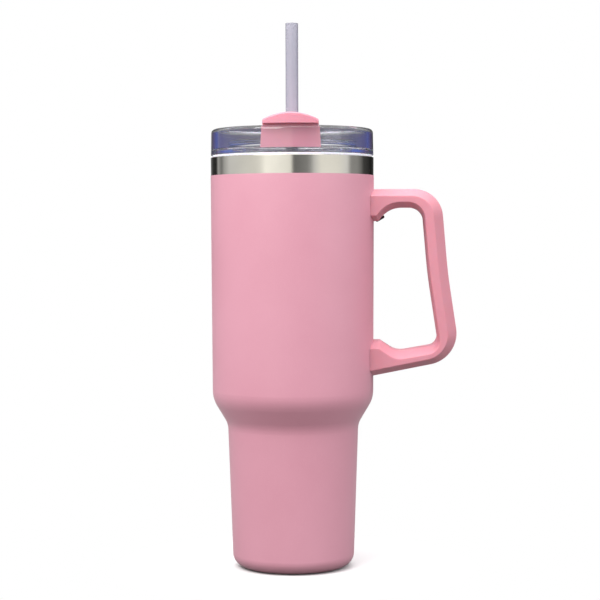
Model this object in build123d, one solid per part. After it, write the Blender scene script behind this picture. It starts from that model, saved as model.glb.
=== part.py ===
"""Insulated tumbler with a side handle, a clear push-in lid, a swivelling cover and a straw.

Frame: +Z up, origin on the cup's axis at the middle of the underside.
The handle stands along +X. The lid's thumb tab points along -Y. All sizes in mm.
"""
import os
from math import asin, cos, degrees, radians, sin, sqrt

from build123d import *

# ---- Driving dimensions: cup outline (outside of the coat) ----
RIM_R = 49.2            # outer radius at the coat's top edge
RIM_TAPER = 0.0046      # radius gained per mm of height on the upper barrel
BASE_R = 36.48          # outer radius of the lower barrel, extended down to z = 0
BASE_TAPER = 0.0345     # radius gained per mm of height on the lower barrel
SHOULDER_R = 43.3       # a point on the sloping shoulder: radius
SHOULDER_Z = 93.0       # and height
SHOULDER_TAPER = 0.598  # radius gained per mm of height on the shoulder
BASE_CORNER = 8.0       # rounding at the underside
WAIST_BLEND = 12.0      # hollow blend under the shoulder
SHOULDER_BLEND = 17.5   # rounded blend over the shoulder
COAT_TOP = 236.2        # the coat stops here and the steel stays bare above it
MOUTH_Z = 247.0         # top of the lip

# ---- Walls ----
COAT = 0.2              # powder coat
STEEL = 0.4             # sheet of the shell and the liner
LINER_INSET = 3.3       # outside of the coat to the wet side of the liner
MOUTH_R = 45.95         # straight bore of the mouth
MOUTH_DEPTH = 19.0      # height of that straight bore
FOIL = 0.12             # copper layer on the liner
FOIL_TOP = 239.0
FLANGE = 0.5            # thickness of the liner's flange at the lip
FLANGE_FIT = 0.01       # between the flange's edge and the shell

# ---- Bottom ----
CAP_TOP = 8.0           # weld line between the base cap and the shell
FOOT_R = 28.4           # flat foot
FOOT_STEP = 0.2         # the foot stands this far below the cap's rounding
COAT_START_ANGLE = 14.0  # the coat's lower edge, on the base rounding
LIP_ROUNDING = 0.3
CLOSURE_Z = 9.0         # top of the vacuum base's rim
CLOSURE_SHEET = 0.6
CLOSURE_DEPTH = 3.4     # the web lies this far below that rim
CLOSURE_GAP = 0.45      # between the rim and the shell
POCKET_R = 6.0          # getter's pocket
POCKET_DEPTH = 1.4
EXHAUST_R = 0.8
FOOT_GROOVE = (22.6, 24.1)    # inner and outer radius of the ring in the foot
LINER_FLOOR = 15.0      # wet side of the liner's floor
LINER_CORNER = 9.0
FLOOR_SHEET = 0.5
GETTER_R = (1.6, 5.0)   # inner and outer radius
GETTER_H = 1.6
BEAD_R = 2.5
BEAD_H = 0.9
BEAD_STEM = 0.5         # how far the bead is drawn up into the exhaust hole
BEAD_STEM_GAP = 0.05
POCKET_Z = CLOSURE_Z - CLOSURE_DEPTH - POCKET_DEPTH   # underside of the getter's pocket

# ---- Handle outline in the XZ plane, and its chamfered section ----
HANDLE_TOP = 227.75     # top edge of the upper arm
GRIP_BEND = (93.3, 176.9)     # where the grip's outer edge changes its lean
GRIP_LEAN = (0.085, 0.15)     # it leans out this much per mm going down, above and below the bend
GRIP_BEND_R = 300.0
GRIP_WIDTH = 11.5       # outer edge to inner edge
HANDLE_FOOT = (47.8, 115.75)  # a point on the lower arm's underside
HANDLE_RISE = 0.195     # the underside climbs this much per mm going out
HANDLE_OUTER_R = (17.4, 19.0)   # upper and lower outer corner
ARM_UNDERSIDE = 216.75  # crown of the arch under the upper arm
ARM_UPSIDE = (80.0, 133.25)   # a point on the lower arm's upper edge
SADDLE_RISE = 0.17      # the upper edge climbs this much per mm going out
UPPER_BOSS_TIP = (51.8, 208.7)
ARCH_START = (57.4, 216.75)
LOWER_BOSS_TIP = (52.7, 136.9)
LOWER_BOSS_FALL = 0.66  # slope from the lower boss down to the arm
HANDLE_HALF_WIDTH = 15.5
FLAT_HALF_WIDTH = 7.5   # half width of the flat between the chamfers
CHAMFER_TOP = 4.1       # chamfer height on the upper arm's top
CHAMFER_OUT = 5.9       # on the grip's outside
CHAMFER_UNDER = 3.7     # on the lower arm's underside
CHAMFER_IN = 0.3        # on the grip's inside
CHAMFER_ARCH = 3.1      # on the arch under the upper arm
CHAMFER_SADDLE = 4.4    # on the lower arm's upper side
CHAMFER_CORNER = 4.0    # the outer corners tighten by this much towards the sides
UNDERCUT = 0.45         # the upper boss recedes this much per mm of its chamfer
LOWER_UNDERCUT = 0.25   # and the lower boss
# Corner roundings of the finger opening, from the upper boss round to the lower one.
WINDOW_RADII = [0.8, 16.5, 8.5, GRIP_BEND_R, 6.0, 12.0, 1.5]
WINDOW_SIDE_RADII = [0.8, 16.5, 10.5, GRIP_BEND_R, 8.5, 12.0, 1.5]
HANDLE_EDGE = 0.6       # rounding of the edges of its flat sides
HANDLE_GAP = 0.05       # joint between the bosses and the cup's wall

# ---- Handle fixing ----
UPPER_SCREW = (53.0, 210.0)   # where the upper screw's axis leaves the boss
UPPER_SCREW_ANGLE = -60.0     # direction that its head faces, from +X towards +Z
LOWER_SCREW = (56.6, 134.3)
LOWER_SCREW_ANGLE = 56.5
SCREW_SEAT = {"upper": -0.9, "lower": -2.2}   # seat of each head, outward from the boss
BRACKET_SPAN = {"upper": (211.6, 222.6), "lower": (120.5, 132.5)}   # heights each bracket fills
SCREW_R = 1.5
SCREW_HEAD_R = 2.9
SCREW_HEAD_H = 1.6
SCREW_HEAD_ROUND = 0.8
SCREW_CROSS = (2.8, 0.6, 0.9)   # length, width and depth of the cross recess
SCREW_LENGTH = 4.8
SCREW_HOLE_GAP = 0.2
SCREW_HEAD_GAP = 0.3
SCREW_WEB = 1.5         # plastic between a screw's head and its bracket
BRACKET_HALF_WIDTH = 6.0
BRACKET_REACH = 8.0     # how far a bracket stands out from the wall
BRACKET_ROUND = 1.5
BRACKET_GAP = 0.3       # between a bracket and the plastic around it
CLEAR = 15.0            # longer than any boss is deep

# ---- Lid ----
LID_R = 48.95           # at the bottom of the rim wall
LID_DRAFT = 0.3         # the wall is this much narrower at the top
LID_BOTTOM = 248.2      # underside of the lid's flange
LID_TOP = 264.0
LID_WALL = 3.7
LID_EDGE = 2.4          # rounding of the rim's outer top edge
TROUGH_FLOOR = 250.8
DECK_TOP = 256.6
DECK_R = 38.6
DECK_SHEET = 3.0
PLUG_R = 44.4
PLUG_WALL = 3.0
PLUG_BOTTOM = 238.5
SEAL_GROOVE = (240.4, 245.6)
SEAL_GROOVE_R = 43.0
SEAL_FIT = 0.06         # radial gap between the seal's lips and the mouth
GASKET_R = (46.0, 47.9)
GASKET_GAP = 0.05
GASKET_ROUND = 0.3
LIP_INSET = 1.3         # each seal lip's middle, from the groove's side
LIP_ROOT = 0.6
LIP_ROOT_HALF = 1.0     # half thickness of a lip at its root
LIP_TIP_HALF = 0.35     # and at its tip
LIP_TIP_ROUND = 0.15
HUB_R = 8.0
HUB_BORE_R = 5.2
HUB_TOP = 262.3
SIP_RADIUS = 27.0       # distance of the sip opening from the axis
SIP_SIZE = (16.0, 8.0)
VENT_R = 1.2
DECK_RISER = 2.0        # wall between the deck and the trough
O_RING_R = 0.58         # section of the ring in the hub's groove
O_RING_DEPTH = 1.3
O_RING_GROOVE = (257.6, 258.8)
STOP_WIDTH = 3.0
STOP_HEIGHT = 2.5
SWIVEL_LIMIT = 90.0     # degrees each way
STOP_MARGIN = 5.0       # degrees left between the tab and a stop at that limit

# ---- Swivelling cover ----
COVER_BOTTOM = 256.9
COVER_SHEET = 2.6
COVER_EDGE = 0.9        # rounding of its top edge
COVER_HUB_R = 14.5
COVER_ARM = 15.6        # half width of the arm where it meets the tab
COVER_TAIL_R = 5.5      # rounded tail over the vent hole
BEARING_FIT = 0.05
TAB_HALF_WIDTH = 16.3   # at the top
TAB_HALF_FOOT = 17.1    # at the bottom of its panel
TAB_PANEL_R = 44.85
TAB_PANEL_BACK = 40.8
TAB_FOOT_Z = 251.1
TAB_CAP_Z = 265.1       # underside of the part that reaches over the rim
TAB_REACH = 49.0
TAB_CREST = 271.3
TAB_DOME_R = 35.2
TAB_ABOVE = 277.0       # higher than the tab reaches
TAB_BACK = [(-44.5, 272.3), (-41.0, 271.3), (-31.0, 263.6), (-22.0, 260.4)]   # slope of its back
TAB_BACK_ROUNDING = [4.0, 4.0, 12.0]
TAB_CAP_EDGE = 1.0
TAB_LIP = 0.5           # its edges higher than this above TAB_CAP_Z are rounded
FAR = 60.0              # farther out than the tab reaches
PAD_SIZE = (22.0, 13.0)
PAD_TOP = 258.1
PAD_GAP = 0.05
RETAINER_R = 10.6
RETAINER_H = 1.5
RETAINER_GAP = 0.15
RETAINER_ROUND = 0.7

# ---- Straw ----
STRAW_R = 3.8
STRAW_WALL = 0.7
STRAW_BOTTOM = 18.0
STRAW_TOP = 327.7
STRAW_FIT = 0.05
GROMMET_FLANGE_R = 7.2
GROMMET_FLANGE_H = 0.9
GROMMET_ROUND = 0.4
STRAW_ROUND = 0.2


FROM_BOTTOM = (Align.CENTER, Align.CENTER, Align.MIN)


# ---- Helpers ----
def spin(points, radii):
    """Solid of revolution about Z; radii round the corners between the first and last point."""
    outline = FilletPolyline(*[(r, 0, z) for r, z in points], radius=radii)
    first, last = outline @ 0, outline @ 1
    face = make_face([*outline.edges(), Line(last, first)])
    return revolve(face, Axis.Z)


def disc(radius, bottom, top):
    """Plain cylinder about Z."""
    return Pos(0, 0, bottom) * Cylinder(radius, top - bottom, align=FROM_BOTTOM)


def ring(inner_r, outer_r, bottom, top):
    """Plain ring or sleeve about Z."""
    return disc(outer_r, bottom, top) - disc(inner_r, bottom, top)


def rim_edges(part, level=-1):
    """Circular edges at one height, smallest first; the topmost unless told otherwise."""
    circles = part.edges().filter_by(GeomType.CIRCLE)
    return circles.group_by(Axis.Z)[level].sort_by(SortBy.RADIUS)


def meet(r_a, z_a, slope_a, r_b, z_b, slope_b):
    """Where two lines r = r0 + slope * (z - z0) cross."""
    z = (r_b - r_a + slope_a * z_a - slope_b * z_b) / (slope_a - slope_b)
    return r_a + slope_a * (z - z_a), z


def cup_form(inset, floor, corner, top=MOUTH_Z):
    """Filled cup shape whose wall lies the given distance inside the coat's outside."""
    slant = inset * sqrt(1 + SHOULDER_TAPER**2)
    waist = meet(BASE_R - inset, 0, BASE_TAPER, SHOULDER_R - slant, SHOULDER_Z, SHOULDER_TAPER)
    shoulder = meet(RIM_R - inset, COAT_TOP, RIM_TAPER, SHOULDER_R - slant, SHOULDER_Z, SHOULDER_TAPER)
    rim = (RIM_R - inset + RIM_TAPER * (top - COAT_TOP), top)
    heel = (BASE_R - inset + BASE_TAPER * floor, floor)
    return spin(
        [(0, floor), heel, waist, shoulder, rim, (0, top)],
        [corner, WAIST_BLEND + inset, SHOULDER_BLEND - inset, 0],
    )


def slot_prism(size, x, y, bottom, top):
    """Vertical prism with rounded ends, centred at x, y."""
    return extrude(Pos(x, y, bottom) * SlotOverall(*size), top - bottom)


def keep(shape, node):
    """Write one sub-part."""
    shape.label = node
    export_step(shape, f"parts/{node}.step")


# ---- Cup ----
def make_outer_base():
    below_weld = disc(RIM_R, 0, CAP_TOP)
    cap = cup_form(COAT, FOOT_STEP, BASE_CORNER - COAT) & below_weld
    cap += disc(FOOT_R, 0, FOOT_STEP)
    cap -= cup_form(COAT + STEEL, FOOT_STEP + STEEL, BASE_CORNER - COAT - STEEL)
    return cap - ring(*FOOT_GROOVE, 0, FOOT_STEP)


def make_outer_shell():
    shell = cup_form(COAT, FOOT_STEP, BASE_CORNER - COAT) - cup_form(COAT + STEEL, 0, BASE_CORNER)
    shell -= disc(RIM_R, -1, CAP_TOP)
    return fillet(rim_edges(shell)[-1], LIP_ROUNDING)


def make_powder_coat():
    coat = cup_form(0, 0, BASE_CORNER, COAT_TOP) - cup_form(COAT, FOOT_STEP, BASE_CORNER - COAT)
    edge_r = BASE_R - BASE_CORNER + BASE_CORNER * sin(radians(COAT_START_ANGLE))
    edge_z = BASE_CORNER * (1 - cos(radians(COAT_START_ANGLE)))
    coat -= disc(edge_r, -1, edge_z + COAT)
    coat -= disc(RIM_R, -1, edge_z)
    for which in SCREW_PLANES:
        coat -= bracket_block(which, 0)
    return coat


def liner_form(inset, floor, corner):
    """Filled liner shape: the tapered barrel and the straight bore at the mouth."""
    barrel = cup_form(LINER_INSET + inset, floor, corner)
    return barrel + disc(MOUTH_R - inset, MOUTH_Z - MOUTH_DEPTH, MOUTH_Z)


def make_inner_liner():
    outside = liner_form(-STEEL, LINER_FLOOR - FLOOR_SHEET, LINER_CORNER + STEEL)
    shell_bore = RIM_R + RIM_TAPER * (MOUTH_Z - COAT_TOP) - COAT - STEEL
    outside += disc(shell_bore - FLANGE_FIT, MOUTH_Z - FLANGE, MOUTH_Z)
    liner = outside - liner_form(0, LINER_FLOOR, LINER_CORNER)
    return fillet(rim_edges(liner)[0], LIP_ROUNDING)


def make_radiation_foil():
    outside = liner_form(-STEEL - FOIL, LINER_FLOOR - FLOOR_SHEET - FOIL, LINER_CORNER + STEEL + FOIL)
    foil = outside - liner_form(-STEEL, LINER_FLOOR - FLOOR_SHEET, LINER_CORNER + STEEL)
    return foil - disc(RIM_R, FOIL_TOP, MOUTH_Z)


def make_vacuum_base():
    """Pressed disc: flat web, a pocket for the getter, and an upturned rim inside the shell."""
    rim_r = BASE_R - COAT - STEEL + BASE_TAPER * CLOSURE_Z - CLOSURE_GAP
    web_z = CLOSURE_Z - CLOSURE_DEPTH
    pressing = disc(rim_r, web_z, CLOSURE_Z)
    pressing -= disc(rim_r - CLOSURE_SHEET, web_z + CLOSURE_SHEET, CLOSURE_Z)
    pressing += disc(POCKET_R + CLOSURE_SHEET, POCKET_Z, web_z)
    pressing -= disc(POCKET_R, POCKET_Z + CLOSURE_SHEET, web_z + CLOSURE_SHEET)
    return pressing - disc(EXHAUST_R, POCKET_Z, web_z)


def make_getter():
    seat = POCKET_Z + CLOSURE_SHEET
    return ring(*GETTER_R, seat, seat + GETTER_H)


def make_seal_bead():
    """Glass bead under the exhaust hole, with the short stem drawn up into it."""
    stem = disc(EXHAUST_R - BEAD_STEM_GAP, POCKET_Z, POCKET_Z + BEAD_STEM)
    return disc(BEAD_R, POCKET_Z - BEAD_H, POCKET_Z) + stem


# ---- Handle ----
def handle_corners(inset):
    """Corner points of the handle's outer outline; inset holds top, side and underside insets."""
    top, side, under = inset
    top_z = HANDLE_TOP - top
    foot_z = HANDLE_FOOT[1] + under
    bend_x = GRIP_BEND[0] - side
    corner_x = bend_x - GRIP_LEAN[0] * (top_z - GRIP_BEND[1])
    start_z = foot_z - HANDLE_RISE * HANDLE_FOOT[0]
    low = meet(bend_x, GRIP_BEND[1], -GRIP_LEAN[1], HANDLE_FOOT[0], foot_z, 1 / HANDLE_RISE)
    return [(0, top_z), (corner_x, top_z), (bend_x, GRIP_BEND[1]), low, (0, start_z)]


def window_corners(grow):
    """Corner points of the finger opening; grow holds arch, side and saddle growths."""
    arch, side, saddle = grow
    crown_z = ARM_UNDERSIDE + arch
    bend_x = GRIP_BEND[0] - GRIP_WIDTH + side
    saddle_z = ARM_UPSIDE[1] - saddle
    corner_x = bend_x - GRIP_LEAN[0] * (crown_z - GRIP_BEND[1])
    low = meet(bend_x, GRIP_BEND[1], -GRIP_LEAN[1], ARM_UPSIDE[0], saddle_z, 1 / SADDLE_RISE)
    tip_z = LOWER_BOSS_TIP[1] - saddle
    fall_x = LOWER_BOSS_TIP[0] - LOWER_UNDERCUT * saddle
    valley = meet(fall_x, tip_z, -1 / LOWER_BOSS_FALL, ARM_UPSIDE[0], saddle_z, 1 / SADDLE_RISE)
    return [
        (0, UPPER_BOSS_TIP[1] + arch),
        (UPPER_BOSS_TIP[0] - UNDERCUT * arch, UPPER_BOSS_TIP[1] + arch),
        (ARCH_START[0] - UNDERCUT * arch, crown_z),
        (corner_x, crown_z),
        (bend_x, GRIP_BEND[1]),
        low,
        valley,
        (fall_x, tip_z),
        (0, tip_z),
    ]


def outline_at(points, radii, y):
    """Closed wire in the plane of the given y, with the inner corners rounded."""
    path = FilletPolyline(*[(x, y, z) for x, z in points], radius=radii)
    return Wire([*path.edges(), Line(path @ 1, path @ 0).edge()])


def chamfered_prism(wide, wide_radii, narrow, narrow_radii):
    """Prism along Y: the flat outline in the middle, drawn in (or out) to another at each side."""
    layers = [
        outline_at(narrow, narrow_radii, -HANDLE_HALF_WIDTH),
        outline_at(wide, wide_radii, -FLAT_HALF_WIDTH),
        outline_at(wide, wide_radii, FLAT_HALF_WIDTH),
        outline_at(narrow, narrow_radii, HANDLE_HALF_WIDTH),
    ]
    return Solid.make_loft(layers, ruled=True)


def screw_plane(point, angle):
    """Plane on the boss at the screw's axis, facing the way the head faces."""
    facing = (cos(radians(angle)), 0, sin(radians(angle)))
    return Plane(origin=(point[0], 0, point[1]), x_dir=(0, 1, 0), z_dir=facing)


def along(plane, radius, start, end):
    """Cylinder on a screw's axis, between two depths measured outward from the boss."""
    return plane * Pos(0, 0, start) * Cylinder(radius, end - start, align=FROM_BOTTOM)


SCREW_PLANES = {
    "upper": screw_plane(UPPER_SCREW, UPPER_SCREW_ANGLE),
    "lower": screw_plane(LOWER_SCREW, LOWER_SCREW_ANGLE),
}


def bracket_block(which, gap):
    """Block that a bracket fills inside its boss, grown by a gap; it stops short of the web."""
    low, high = BRACKET_SPAN[which]
    width = 2 * (BRACKET_HALF_WIDTH + gap)
    block = Box(
        BRACKET_REACH + CLEAR + gap, width, high - low + 2 * gap,
        align=(Align.MAX, Align.CENTER, Align.CENTER),
    )
    block = Pos(RIM_R + BRACKET_REACH + gap, 0, (low + high) / 2) * block
    web_start = SCREW_SEAT[which] - SCREW_WEB + gap - BRACKET_GAP
    return block - along(SCREW_PLANES[which], CLEAR, web_start, CLEAR)


def make_bracket(which):
    """Bracket welded on the steel wall, with the hole that the screw bites in."""
    block = bracket_block(which, 0) - cup_form(COAT, 0, BASE_CORNER)
    block = fillet(block.edges().filter_by(Axis.Y).sort_by(Axis.X)[-1], BRACKET_ROUND)
    return block - along(SCREW_PLANES[which], SCREW_R, -CLEAR, CLEAR)


def make_screw(which):
    """Pan-head screw with a cross recess."""
    plane = SCREW_PLANES[which]
    seat = SCREW_SEAT[which]
    top = seat + SCREW_HEAD_H
    head = along(plane, SCREW_HEAD_R, seat, top)
    outer_edges = head.edges().filter_by(GeomType.CIRCLE)
    rim = outer_edges.sort_by(lambda edge: plane.to_local_coords(edge.center()).Z)[-1]
    head = fillet(rim, SCREW_HEAD_ROUND)
    length, width, depth = SCREW_CROSS
    for turn in (0, 90):
        head -= plane * Pos(0, 0, top) * Rot(0, 0, turn) * Box(length, width, 2 * depth)
    return head + along(plane, SCREW_R, seat - SCREW_LENGTH, seat)


def make_handle():
    upper_r, lower_r = HANDLE_OUTER_R
    outer = chamfered_prism(
        handle_corners((0, 0, 0)), [upper_r, GRIP_BEND_R, lower_r],
        handle_corners((CHAMFER_TOP, CHAMFER_OUT, CHAMFER_UNDER)),
        [upper_r - CHAMFER_CORNER, GRIP_BEND_R, lower_r - CHAMFER_CORNER],
    )
    window = chamfered_prism(
        window_corners((0, 0, 0)), WINDOW_RADII,
        window_corners((CHAMFER_ARCH, CHAMFER_IN, CHAMFER_SADDLE)), WINDOW_SIDE_RADII,
    )
    bare = Part() + outer - window
    across = bare.edges().group_by(Axis.Y)
    handle = bare.fillet(HANDLE_EDGE, across[0] + across[-1])
    handle -= cup_form(-HANDLE_GAP, -HANDLE_GAP, BASE_CORNER + HANDLE_GAP)
    beyond_axis = Box(2 * RIM_R, 2 * RIM_R, HANDLE_TOP, align=(Align.MIN, Align.CENTER, Align.MIN))
    handle = handle & Pos(BASE_R, 0, 0) * beyond_axis
    for which, plane in SCREW_PLANES.items():
        handle -= bracket_block(which, BRACKET_GAP)
        handle -= along(plane, SCREW_R + SCREW_HOLE_GAP, -CLEAR, CLEAR)
        handle -= along(plane, SCREW_HEAD_R + SCREW_HEAD_GAP, SCREW_SEAT[which], CLEAR)
    return handle


# ---- Lid ----
def make_lid_body():
    deck_under = DECK_TOP - DECK_SHEET
    trough_under = TROUGH_FLOOR - DECK_SHEET
    riser_r = DECK_R - DECK_RISER
    plug_inner = PLUG_R - PLUG_WALL
    wall_inner = LID_R - LID_WALL
    # Radius, height and corner rounding, from the hub's bore outward and back over the top.
    profile = [
        (HUB_BORE_R, deck_under, 0), (riser_r, deck_under, 1.5), (riser_r, trough_under, 1.2),
        (plug_inner, trough_under, 1.0), (plug_inner, PLUG_BOTTOM, 0.8), (PLUG_R, PLUG_BOTTOM, 0.8),
        (PLUG_R, SEAL_GROOVE[0], 0), (SEAL_GROOVE_R, SEAL_GROOVE[0], 0),
        (SEAL_GROOVE_R, SEAL_GROOVE[1], 0), (PLUG_R, SEAL_GROOVE[1], 0),
        (PLUG_R, LID_BOTTOM, 0.5), (LID_R, LID_BOTTOM, 0.6), (LID_R - LID_DRAFT, LID_TOP, LID_EDGE),
        (wall_inner, LID_TOP, 1.2), (wall_inner, TROUGH_FLOOR, 1.0), (DECK_R, TROUGH_FLOOR, 0.8),
        (DECK_R, DECK_TOP, 1.0), (HUB_R, DECK_TOP, 0.2), (HUB_R, HUB_TOP, 0.5), (HUB_BORE_R, HUB_TOP, 0),
    ]
    body = spin([(r, z) for r, z, _ in profile], [rounding for _, _, rounding in profile[1:-1]])
    body -= slot_prism(SIP_SIZE, 0, -SIP_RADIUS, 0, LID_TOP)
    body -= Pos(0, SIP_RADIUS, 0) * disc(VENT_R, 0, LID_TOP)
    stop_angle = SWIVEL_LIMIT + degrees(asin(TAB_HALF_FOOT / TAB_PANEL_BACK)) + STOP_MARGIN
    stop = Box(STOP_WIDTH, wall_inner - riser_r, STOP_HEIGHT, align=FROM_BOTTOM)
    stop = Pos(0, -(wall_inner + riser_r) / 2, TROUGH_FLOOR) * stop
    for side in (-1, 1):
        body += Rot(0, 0, side * stop_angle) * stop
    return body - ring(HUB_R - O_RING_DEPTH, DECK_R, *O_RING_GROOVE)


def make_rim_gasket():
    gasket = ring(*GASKET_R, MOUTH_Z + GASKET_GAP, LID_BOTTOM)
    outside = gasket.edges().filter_by(GeomType.CIRCLE).sort_by(SortBy.RADIUS)[-2:]
    return fillet(outside, GASKET_ROUND)


def make_plug_seal():
    """Silicone band with two lips that wipe the mouth."""
    low, high = SEAL_GROOVE
    band = ring(SEAL_GROOVE_R, PLUG_R + LIP_ROOT / 2, low, high)
    tip_r = MOUTH_R - SEAL_FIT
    root_r = SEAL_GROOVE_R + LIP_ROOT
    for middle in (low + LIP_INSET, high - LIP_INSET):
        corners = [
            (root_r, middle - LIP_ROOT_HALF), (tip_r, middle - LIP_TIP_HALF),
            (tip_r, middle + LIP_TIP_HALF), (root_r, middle + LIP_ROOT_HALF),
        ]
        band += spin(corners, [LIP_TIP_ROUND, LIP_TIP_ROUND])
    return band


def make_hub_o_ring():
    middle = sum(O_RING_GROOVE) / 2
    return Pos(0, 0, middle) * Torus(HUB_R - O_RING_R - BEARING_FIT, O_RING_R)


def make_cover_retainer():
    bottom = COVER_BOTTOM + COVER_SHEET + RETAINER_GAP
    retainer = ring(HUB_R, RETAINER_R, bottom, bottom + RETAINER_H)
    return fillet(rim_edges(retainer)[-1], RETAINER_ROUND)


def make_straw_grommet():
    grommet = disc(HUB_BORE_R, DECK_TOP - DECK_SHEET, HUB_TOP)
    grommet += disc(GROMMET_FLANGE_R, HUB_TOP, HUB_TOP + GROMMET_FLANGE_H)
    grommet = fillet(rim_edges(grommet), GROMMET_ROUND)
    return grommet - disc(STRAW_R + STRAW_FIT, 0, STRAW_TOP)


# ---- Swivelling cover ----
def make_thumb_tab():
    """Side view of the lever, crossed with its domed front view and its tapered panel."""
    side_view = [
        (TAB_BACK[-1][0], COVER_BOTTOM), (-TAB_PANEL_BACK, COVER_BOTTOM), (-TAB_PANEL_BACK, TAB_FOOT_Z),
        (-FAR, TAB_FOOT_Z), (-FAR, TAB_BACK[0][1]), *TAB_BACK,
    ]
    path = FilletPolyline(*[(0, y, z) for y, z in side_view], radius=[0, 0, 0, 0, *TAB_BACK_ROUNDING])
    face = make_face([*path.edges(), Line(path @ 1, path @ 0)])
    lever = extrude(face, FAR, dir=(1, 0, 0), both=True)
    lever = lever & Pos(0, 0, TAB_CREST - TAB_DOME_R) * Rot(90, 0, 0) * Cylinder(TAB_DOME_R, 2 * FAR)
    flank = [(TAB_HALF_FOOT, TAB_FOOT_Z), (TAB_HALF_WIDTH, TAB_CAP_Z), (TAB_HALF_WIDTH, TAB_ABOVE)]
    mirrored = [(-x, z) for x, z in reversed(flank)]
    front_view = Polyline(*[(x, 0, z) for x, z in flank + mirrored], close=True)
    lever = lever & extrude(make_face(front_view.edges()), FAR, dir=(0, -1, 0))
    return lever & (disc(TAB_PANEL_R, 0, TAB_CAP_Z) + disc(TAB_REACH, TAB_CAP_Z, TAB_ABOVE))


def make_swivel_cover():
    """Bar with a round hub, a rounded tail and the thumb tab at its front end."""
    top = COVER_BOTTOM + COVER_SHEET
    arm_tip = Line((-COVER_ARM, -TAB_PANEL_BACK), (COVER_ARM, -TAB_PANEL_BACK))
    tail = Pos(0, SIP_RADIUS) * Circle(COVER_TAIL_R)
    outline = make_hull([*Circle(COVER_HUB_R).edges(), *tail.edges(), arm_tip.edge()])
    bar = extrude(Pos(0, 0, COVER_BOTTOM) * outline, COVER_SHEET)
    bar = fillet(bar.edges().group_by(Axis.Z)[-1], COVER_EDGE)
    tab = make_thumb_tab()
    cap_edges = tab.edges().filter_by(lambda edge: edge.bounding_box().min.Z > TAB_CAP_Z + TAB_LIP)
    cover = bar + fillet(cap_edges, TAB_CAP_EDGE)
    cover -= disc(HUB_R + BEARING_FIT, 0, top)
    return cover - slot_prism(PAD_SIZE, 0, -SIP_RADIUS, 0, PAD_TOP)


def make_sip_seal():
    return slot_prism(PAD_SIZE, 0, -SIP_RADIUS, DECK_TOP + PAD_GAP, PAD_TOP)


def make_straw():
    straw = ring(STRAW_R - STRAW_WALL, STRAW_R, STRAW_BOTTOM, STRAW_TOP)
    return fillet(straw.edges().filter_by(GeomType.CIRCLE), STRAW_ROUND)


def main():
    os.makedirs("parts", exist_ok=True)
    keep(make_outer_shell(), "outer_shell")
    keep(make_powder_coat(), "powder_coat")
    keep(make_inner_liner(), "inner_liner")
    keep(make_radiation_foil(), "radiation_foil")
    keep(make_vacuum_base(), "vacuum_base")
    keep(make_getter(), "getter")
    keep(make_seal_bead(), "seal_bead")
    keep(make_outer_base(), "outer_base")
    for which in SCREW_PLANES:
        keep(make_bracket(which), f"{which}_bracket")
    keep(make_handle(), "handle")
    keep(Compound(children=[make_screw(which) for which in SCREW_PLANES]), "handle_screws")
    keep(make_lid_body(), "lid_body")
    keep(make_rim_gasket(), "rim_gasket")
    keep(make_plug_seal(), "plug_seal")
    keep(make_hub_o_ring(), "hub_o_ring")
    keep(make_cover_retainer(), "cover_retainer")
    keep(make_straw_grommet(), "straw_grommet")
    keep(make_swivel_cover(), "swivel_cover")
    keep(make_sip_seal(), "sip_seal")
    keep(make_straw(), "straw")


main()
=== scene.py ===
import math

import bpy
from mathutils import Matrix, Vector

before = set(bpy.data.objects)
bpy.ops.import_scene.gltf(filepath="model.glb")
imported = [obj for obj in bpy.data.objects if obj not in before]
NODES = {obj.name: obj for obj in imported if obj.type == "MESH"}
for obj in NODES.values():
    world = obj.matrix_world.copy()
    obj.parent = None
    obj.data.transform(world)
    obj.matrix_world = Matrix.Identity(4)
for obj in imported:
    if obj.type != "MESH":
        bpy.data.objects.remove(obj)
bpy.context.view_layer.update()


# ---- Colours ----
def srgb(red, green, blue):
    """Linear colour, with alpha, from 0-255 display values."""
    def linear(value):
        value /= 255
        return value / 12.92 if value <= 0.04045 else ((value + 0.055) / 1.055) ** 2.4
    return (linear(red), linear(green), linear(blue), 1.0)


def grey(level):
    return (level, level, level, 1.0)


# ---- Node trees ----
MIX_INPUTS = (6, 7)      # the two colour inputs of a Mix node
MIX_OUTPUT = 2           # its colour output


class Tree:
    """Short calls that add nodes to the tree of a material or of the world."""

    def __init__(self, owner):
        owner.use_nodes = True
        self.tree = owner.node_tree
        self.tree.nodes.clear()

    def add(self, kind, **settings):
        node = self.tree.nodes.new(kind)
        for key, value in settings.items():
            setattr(node, key, value)
        return node

    def join(self, source, target):
        self.tree.links.new(source, target)

    def spread(self, factor, low, high, start=0.3, end=0.7):
        """Map start..end of a factor to low..high."""
        node = self.add("ShaderNodeMapRange")
        for name, number in (("From Min", start), ("From Max", end), ("To Min", low), ("To Max", high)):
            node.inputs[name].default_value = number
        self.join(factor, node.inputs["Value"])
        return node.outputs["Result"]

    def blend(self, factor, first, second):
        """Mix two colours, either of them a socket."""
        node = self.add("ShaderNodeMix", data_type="RGBA")
        for value, index in zip((first, second), MIX_INPUTS):
            if isinstance(value, tuple):
                node.inputs[index].default_value = value
            else:
                self.join(value, node.inputs[index])
        self.join(factor, node.inputs[0])
        return node.outputs[MIX_OUTPUT]

    def calculate(self, operation, first, second):
        """Math node on a socket and a second socket or number."""
        node = self.add("ShaderNodeMath", operation=operation)
        self.join(first, node.inputs[0])
        if isinstance(second, (int, float)):
            node.inputs[1].default_value = second
        else:
            self.join(second, node.inputs[1])
        return node.outputs[0]

    def mix_shaders(self, factor, first, second):
        node = self.add("ShaderNodeMixShader")
        for index, socket in enumerate((factor, first, second)):
            self.join(socket, node.inputs[index])
        return node.outputs[0]


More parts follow.
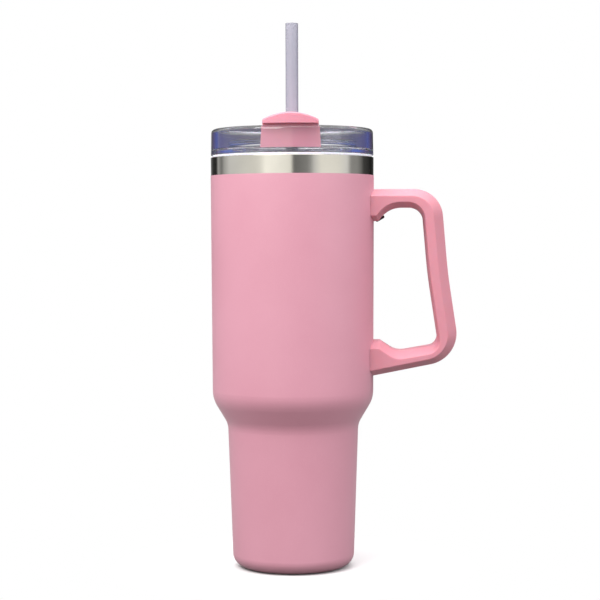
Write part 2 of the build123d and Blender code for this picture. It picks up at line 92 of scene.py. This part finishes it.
class Recipe(Tree):
    """A material with one Principled shader."""

    def __init__(self, name):
        self.material = bpy.data.materials.new(name)
        super().__init__(self.material)
        self.shader = self.add("ShaderNodeBsdfPrincipled")
        self.output = self.add("ShaderNodeOutputMaterial")
        self.join(self.shader.outputs[0], self.output.inputs["Surface"])
        self.place = self.add("ShaderNodeTexCoord").outputs["Object"]

    def fixed(self, **values):
        """Constant values, set on the shader's own sockets."""
        for name, value in values.items():
            self.shader.inputs[name.replace("_", " ")].default_value = value

    def noise(self, scale, detail=3.0, roughness=0.5, stretch=None):
        """Noise factor; scale is in features per metre, stretch is per axis."""
        node = self.add("ShaderNodeTexNoise")
        node.inputs["Scale"].default_value = scale
        node.inputs["Detail"].default_value = detail
        node.inputs["Roughness"].default_value = roughness
        place = self.place
        if stretch:
            mapping = self.add("ShaderNodeMapping")
            mapping.inputs["Scale"].default_value = stretch
            self.join(place, mapping.inputs["Vector"])
            place = mapping.outputs[0]
        self.join(place, node.inputs["Vector"])
        return node.outputs["Factor"] if "Factor" in node.outputs else node.outputs["Fac"]

    def bump(self, height, distance, strength=1.0, under=None):
        node = self.add("ShaderNodeBump")
        node.inputs["Strength"].default_value = strength
        node.inputs["Distance"].default_value = distance
        self.join(height, node.inputs["Height"])
        if under:
            self.join(under, node.inputs["Normal"])
        return node.outputs["Normal"]

    def feed(self, socket, name):
        self.join(socket, self.shader.inputs[name])


FINE = 0.00002           # depth in metres of the bumps in plastic, coat and silicone
FINER = 0.00001          # the same for clear plastic
BRUSHING = 0.000004      # the same for brushed steel


def powder_coat_material():
    recipe = Recipe("powder_coat_pink")
    cloud = recipe.noise(14, 4)
    fleck = recipe.noise(2600, 2)
    colour = recipe.blend(recipe.spread(cloud, 0, 1), srgb(223, 154, 173), srgb(230, 163, 182))
    colour = recipe.blend(recipe.spread(fleck, 0, 0.25, 0.55, 0.75), colour, srgb(245, 184, 197))
    recipe.feed(colour, "Base Color")
    recipe.feed(recipe.spread(recipe.noise(60, 3), 0.42, 0.52), "Roughness")
    recipe.fixed(Specular_IOR_Level=0.7, Coat_Weight=0.25, Coat_Roughness=0.42)
    recipe.fixed(Sheen_Weight=0.12, Sheen_Roughness=0.4)
    ripple = recipe.bump(recipe.noise(900, 2), FINE, 0.5)
    recipe.feed(recipe.bump(fleck, FINE, 0.5, ripple), "Normal")
    return recipe.material


def moulded_pink_material(name, dark, light, roughness, texture, gloss):
    """Moulded plastic with a fine spark-eroded texture."""
    recipe = Recipe(name)
    colour = recipe.blend(recipe.spread(recipe.noise(22, 4), 0, 1), dark, light)
    recipe.feed(colour, "Base Color")
    low, high = roughness
    recipe.feed(recipe.spread(recipe.noise(90, 4), low, high), "Roughness")
    recipe.fixed(Specular_IOR_Level=gloss, Subsurface_Weight=0.2, Subsurface_Scale=0.006)
    recipe.feed(recipe.bump(recipe.noise(texture, 2), FINE, 0.45), "Normal")
    return recipe.material


STAIN_DEPTH = 10      # how much darker the steel's stains are, in 0-255 display values


def steel_material(name, level, roughness, anisotropy, direction, metallic=1.0):
    """Brushed stainless steel; direction stretches the brushing's noise per axis.

    Below 1, metallic leaves some diffuse light, which keeps the inside of the cup from going black.
    """
    recipe = Recipe(name)
    brush = recipe.noise(900, 4, 0.6, direction)
    stain = recipe.noise(40, 3)
    stained = srgb(*(value - STAIN_DEPTH for value in level))
    colour = recipe.blend(recipe.spread(stain, 0, 1), srgb(*level), stained)
    recipe.feed(colour, "Base Color")
    low, high = roughness
    recipe.feed(recipe.spread(brush, low, high), "Roughness")
    recipe.fixed(Metallic=metallic, Anisotropic=anisotropy)
    recipe.feed(recipe.bump(brush, BRUSHING, 0.4), "Normal")
    tangent = recipe.add("ShaderNodeTangent", direction_type="RADIAL", axis="Z")
    recipe.feed(tangent.outputs[0], "Tangent")
    return recipe.material


SAN_IOR = 1.57
STRAW_IOR = 1.45
GLASS_IOR = 1.52


def clear_material(name, tint, ior, roughness, depth_colour=None, depth_density=0.0,
                   clarity=1.0, gloss=0.5):
    """Clear plastic that lets direct light through to what it covers, and darkens with depth."""
    recipe = Recipe(name)
    if depth_colour:
        depth = recipe.add("ShaderNodeVolumeAbsorption")
        depth.inputs["Color"].default_value = depth_colour
        depth.inputs["Density"].default_value = depth_density
        recipe.join(depth.outputs[0], recipe.output.inputs["Volume"])
    recipe.fixed(Base_Color=tint, Transmission_Weight=clarity, IOR=ior, Specular_IOR_Level=gloss)
    low, high = roughness
    recipe.feed(recipe.spread(recipe.noise(70, 4), low, high), "Roughness")
    recipe.feed(recipe.bump(recipe.noise(160, 2), FINER, 0.25), "Normal")
    clear = recipe.add("ShaderNodeBsdfTransparent")
    clear.inputs["Color"].default_value = tint
    rays = recipe.add("ShaderNodeLightPath").outputs
    either = recipe.calculate("MAXIMUM", rays["Is Shadow Ray"], rays["Is Diffuse Ray"])
    surface = recipe.mix_shaders(either, recipe.shader.outputs[0], clear.outputs[0])
    recipe.join(surface, recipe.output.inputs["Surface"])
    return recipe.material


def silicone_material():
    recipe = Recipe("white_silicone")
    colour = recipe.blend(recipe.spread(recipe.noise(50, 3), 0, 1), srgb(232, 228, 245), srgb(245, 243, 252))
    recipe.feed(colour, "Base Color")
    recipe.feed(recipe.spread(recipe.noise(200, 3), 0.38, 0.55), "Roughness")
    recipe.fixed(Subsurface_Weight=0.15, Subsurface_Scale=0.002, Sheen_Weight=0.1)
    recipe.feed(recipe.bump(recipe.noise(700, 2), FINE, 0.3), "Normal")
    return recipe.material


def plain_metal_material(name, colour, roughness, scale):
    """Small hidden or plated metal pieces."""
    recipe = Recipe(name)
    darker = tuple(0.8 * v for v in colour[:3]) + (1.0,)
    recipe.feed(recipe.blend(recipe.spread(recipe.noise(scale, 4), 0, 1), darker, colour), "Base Color")
    low, high = roughness
    recipe.feed(recipe.spread(recipe.noise(3 * scale, 3), low, high), "Roughness")
    recipe.fixed(Metallic=1.0)
    recipe.feed(recipe.bump(recipe.noise(4 * scale, 3), FINE, 0.3), "Normal")
    return recipe.material


def paint(node, material):
    """Give a CAD node one material."""
    slots = NODES[node].material_slots
    if not slots:
        NODES[node].data.materials.append(material)
    for place in slots:
        place.material = material


def paint_all():
    clear = clear_material(
        "clear_lid_plastic", grey(0.92), SAN_IOR, (0.03, 0.08),
        depth_colour=(0.25, 0.33, 1.0, 1.0), depth_density=3.0, gloss=0.7)
    straw = clear_material(
        "clear_straw_plastic", srgb(206, 205, 216), STRAW_IOR, (0.12, 0.22), clarity=0.5)
    steel = steel_material("brushed_steel_lathe", (228, 225, 217), (0.08, 0.14), 0.0, (0.3, 0.3, 30))
    liner = steel_material(
        "polished_steel_liner", (224, 221, 214), (0.2, 0.3), 0.0, (0.3, 0.3, 30), metallic=0.72)
    base = steel_material("brushed_steel_base", (220, 217, 210), (0.2, 0.3), 0.4, (1, 1, 1))
    handle = moulded_pink_material(
        "handle_pink", srgb(223, 147, 162), srgb(229, 155, 170), (0.4, 0.5), 1900, 0.5)
    cover = moulded_pink_material(
        "cover_pink", srgb(230, 151, 170), srgb(235, 158, 177), (0.28, 0.4), 2400, 0.45)
    silicone = silicone_material()
    looks = {
        "powder_coat": powder_coat_material(),
        "outer_shell": steel, "inner_liner": liner, "outer_base": base, "vacuum_base": base,
        "upper_bracket": base, "lower_bracket": base,
        "radiation_foil": plain_metal_material("copper_foil", srgb(214, 140, 105), (0.25, 0.4), 60),
        "getter": plain_metal_material("sintered_getter", srgb(120, 120, 124), (0.6, 0.8), 600),
        "seal_bead": clear_material("fused_glass", srgb(190, 205, 190), GLASS_IOR, (0.02, 0.08)),
        "handle_screws": plain_metal_material("plated_screw", srgb(70, 64, 66), (0.3, 0.45), 500),
        "handle": handle,
        "lid_body": clear, "straw": straw,
        "rim_gasket": silicone, "plug_seal": silicone, "hub_o_ring": silicone,
        "straw_grommet": silicone, "sip_seal": silicone,
        "swivel_cover": cover, "cover_retainer": cover,
    }
    for node, material in looks.items():
        paint(node, material)


# ---- Studio ----
# Brightness of the surroundings by the direction they lie in, in degrees from the
# front (-Y), positive towards the handle: soft boxes with dark flags between them.
SURROUND = [
    (-180, 0.30), (-165, 0.20), (-150, 0.04), (-133, 0.02), (-127, 0.46), (-120, 0.24), (-116, 0.20),
    (-111, 0.42), (-97, 0.72), (-51, 0.83), (-44, 0.92), (-36, 1.20), (-18, 1.10), (-1, 1.00),
    (3, 0.17), (22, 0.27), (27, 0.40), (32, 0.70), (42, 1.00), (68, 0.95), (84, 0.80), (92, 0.32),
    (105, 0.30), (116, 0.16), (121, 0.06), (150, 0.01), (165, 0.06), (180, 0.30),
]
# Painted shade and tint seen through the clear lid in each direction: grey behind it, violet to blue aside.
# Rays that have passed through clear plastic see these colours instead of the studio.
LID_PAINTED_SHADE = [
    (-180, (0.11, 0.11, 0.15)), (-160, (0.15, 0.12, 0.23)), (-135, (0.09, 0.14, 0.50)),
    (-90, (0.16, 0.22, 0.52)), (-40, (0.45, 0.47, 0.62)), (0, (0.8, 0.8, 0.86)),
    (40, (0.45, 0.47, 0.62)), (90, (0.16, 0.22, 0.52)), (135, (0.09, 0.14, 0.50)),
    (160, (0.13, 0.10, 0.20)), (180, (0.11, 0.11, 0.15)),
]
WARM_WHITE = (1.0, 0.985, 0.93)   # colour of the bright soft boxes
DOME = 1.15                       # brightness straight above
UNDER = 0.10                      # brightness below the horizon
BRIGHT = 0.8                      # levels of SURROUND above this are warm white
# Height of a direction (-1 straight down, 1 straight up) where each part fades in.
DOME_RISE = (0.15, 0.8)
UNDER_FALL = (-0.02, -0.12)
LID_PAINTED_SHADE_FALL = (0.5, 0.2)


class Sky(Tree):
    """The world around the object."""

    def __init__(self):
        world = bpy.data.worlds.new("studio")
        bpy.context.scene.world = world
        super().__init__(world)

    def ramp(self, factor, colours):
        """Colour ramp round the compass from rows of degrees and colour."""
        node = self.add("ShaderNodeValToRGB")
        self.join(factor, node.inputs[0])
        stops = node.color_ramp.elements
        for degrees, colour in colours:
            stop = {-180: stops[0], 180: stops[-1]}.get(degrees) or stops.new((degrees + 180) / 360)
            stop.color = (*colour, 1)
        return node.outputs[0]


def surround_world():
    sky = Sky()
    split = sky.add("ShaderNodeSeparateXYZ")
    sky.join(sky.add("ShaderNodeTexCoord").outputs["Generated"], split.inputs[0])
    front = sky.calculate("MULTIPLY", split.outputs["Y"], -1)
    azimuth = sky.calculate("ARCTAN2", split.outputs["X"], front)
    turn = sky.spread(azimuth, 0, 1, -math.pi, math.pi)
    levels = [
        (degrees, tuple(level * part for part in (WARM_WHITE if level > BRIGHT else (1, 1, 1))))
        for degrees, level in SURROUND
    ]
    boxes_and_flags = sky.ramp(turn, levels)
    # Painted shade and tint for the clear lid, by direction.
    lid_painted_shade = sky.ramp(turn, LID_PAINTED_SHADE)
    height = split.outputs["Z"]
    around = sky.blend(sky.spread(height, 0, 1, *DOME_RISE), boxes_and_flags, grey(DOME))
    around = sky.blend(sky.spread(height, 0, 1, *UNDER_FALL), around, grey(UNDER))
    rays = sky.add("ShaderNodeLightPath").outputs
    # Painted shade and tint in the clear lid: rays that have passed through clear plastic see the ramp of
    # painted lid colours instead of the studio, in directions not far above the horizon.
    low = sky.spread(height, 0, 1, *LID_PAINTED_SHADE_FALL)
    around = sky.blend(sky.calculate("MULTIPLY", rays["Is Transmission Ray"], low), around, lid_painted_shade)
    studio = sky.add("ShaderNodeBackground")
    sky.join(around, studio.inputs["Color"])
    paper = sky.add("ShaderNodeBackground")
    paper.inputs["Color"].default_value = grey(1.0)
    seen = sky.mix_shaders(rays["Is Camera Ray"], studio.outputs[0], paper.outputs[0])
    sky.join(seen, sky.add("ShaderNodeOutputWorld").inputs[0])


FLOOR_SIZE = 8.0
FLOOR_LEVEL = -0.0002   # just under the foot
FLOOR_BOUNCE = 0.14     # how much light the floor throws back on the object
FLOOR_MIRRORED = 0.28   # the floor's level as mirrored in steel and plastic
PAPER_START = 0.038     # the floor fades to plain white paper between these distances
PAPER_END = 0.11


def floor():
    bpy.ops.mesh.primitive_plane_add(size=FLOOR_SIZE, location=(0, 0, FLOOR_LEVEL))
    plane = bpy.context.object
    plane.name = "floor"
    recipe = Recipe("pale_floor")
    recipe.fixed(Base_Color=grey(0.92), Roughness=0.8, Specular_IOR_Level=0.0)
    distance = recipe.add("ShaderNodeVectorMath", operation="LENGTH")
    recipe.join(recipe.place, distance.inputs[0])
    paper = recipe.add("ShaderNodeEmission")
    far = recipe.spread(distance.outputs["Value"], 0, 1, PAPER_START, PAPER_END)
    near_to_far = recipe.mix_shaders(far, recipe.shader.outputs[0], paper.outputs[0])
    bounce, mirrored = (recipe.add("ShaderNodeBsdfDiffuse") for _ in range(2))
    bounce.inputs["Color"].default_value = grey(FLOOR_BOUNCE)
    mirrored.inputs["Color"].default_value = grey(FLOOR_MIRRORED)
    rays = recipe.add("ShaderNodeLightPath").outputs
    thrown_back = recipe.mix_shaders(rays["Is Glossy Ray"], bounce.outputs[0], mirrored.outputs[0])
    seen = recipe.mix_shaders(rays["Is Camera Ray"], thrown_back, near_to_far)
    recipe.join(seen, recipe.output.inputs["Surface"])
    plane.data.materials.append(recipe.material)


LAMPS_AIM = 0.15                            # height the lamps point at, the cup's middle
MIRRORED_LAMPS = ("key", "top")             # the others would show as spots in the steel
LAMPS_HIDDEN_IN_LID = ("back", "side")      # they would shine through the clear lid


def soft_box(name, azimuth, height, distance, size, power, colour=(1, 1, 1)):
    """Square area light aimed at the cup's middle; azimuth as in SURROUND."""
    data = bpy.data.lights.new(name, "AREA")
    data.shape = "RECTANGLE"
    data.size, data.size_y = size
    data.energy = power
    data.color = colour
    lamp = bpy.data.objects.new(name, data)
    turn = math.radians(azimuth)
    lamp.location = (distance * math.sin(turn), -distance * math.cos(turn), height)
    aim = Vector((0, 0, LAMPS_AIM)) - lamp.location
    lamp.rotation_euler = aim.to_track_quat("-Z", "Y").to_euler()
    lamp.visible_glossy = name in MIRRORED_LAMPS
    lamp.visible_transmission = name not in LAMPS_HIDDEN_IN_LID
    bpy.context.scene.collection.objects.link(lamp)


LENS = 102.6                # mm, on a sensor 36 mm wide
SENSOR = 36
CAMERA_AZIMUTH = 1.0        # degrees from the front, towards the handle
CAMERA_PITCH = -2.24        # degrees, looking slightly down
CAMERA_ROLL = -0.2
CAMERA_DISTANCE = 1.034     # from the cup's axis
CAMERA_SIDEWAYS = 0.0044
CAMERA_HEIGHT = 0.2016


def camera():
    data = bpy.data.cameras.new("camera")
    data.lens = LENS
    data.sensor_width = SENSOR
    azimuth = math.radians(CAMERA_AZIMUTH)
    back = Vector((math.sin(azimuth), -math.cos(azimuth), 0))
    right = Vector((math.cos(azimuth), math.sin(azimuth), 0))
    rig = bpy.data.objects.new("camera", data)
    pitch = math.radians(90 + CAMERA_PITCH)
    turn = Matrix.Rotation(azimuth, 4, "Z") @ Matrix.Rotation(pitch, 4, "X")
    roll = Matrix.Rotation(math.radians(CAMERA_ROLL), 4, "Z")
    place = back * CAMERA_DISTANCE + right * CAMERA_SIDEWAYS + Vector((0, 0, CAMERA_HEIGHT))
    rig.matrix_world = Matrix.Translation(place) @ turn @ roll
    bpy.context.scene.collection.objects.link(rig)
    bpy.context.scene.camera = rig


paint_all()
surround_world()
floor()
soft_box("key", -38, 0.72, 0.58, (0.45, 0.45), 3.6)
soft_box("top", 30, 1.1, 0.30, (0.6, 0.6), 3.2)
soft_box("side", -82, 0.70, 0.56, (0.3, 0.3), 0.85)
soft_box("back", 180, 0.55, 0.75, (0.6, 0.6), 2.2)
soft_box("fill", 62, 0.50, 0.70, (0.4, 0.5), 1.3, (0.93, 0.95, 1.0))
camera()
bpy.context.scene.view_settings.view_transform = "Standard"
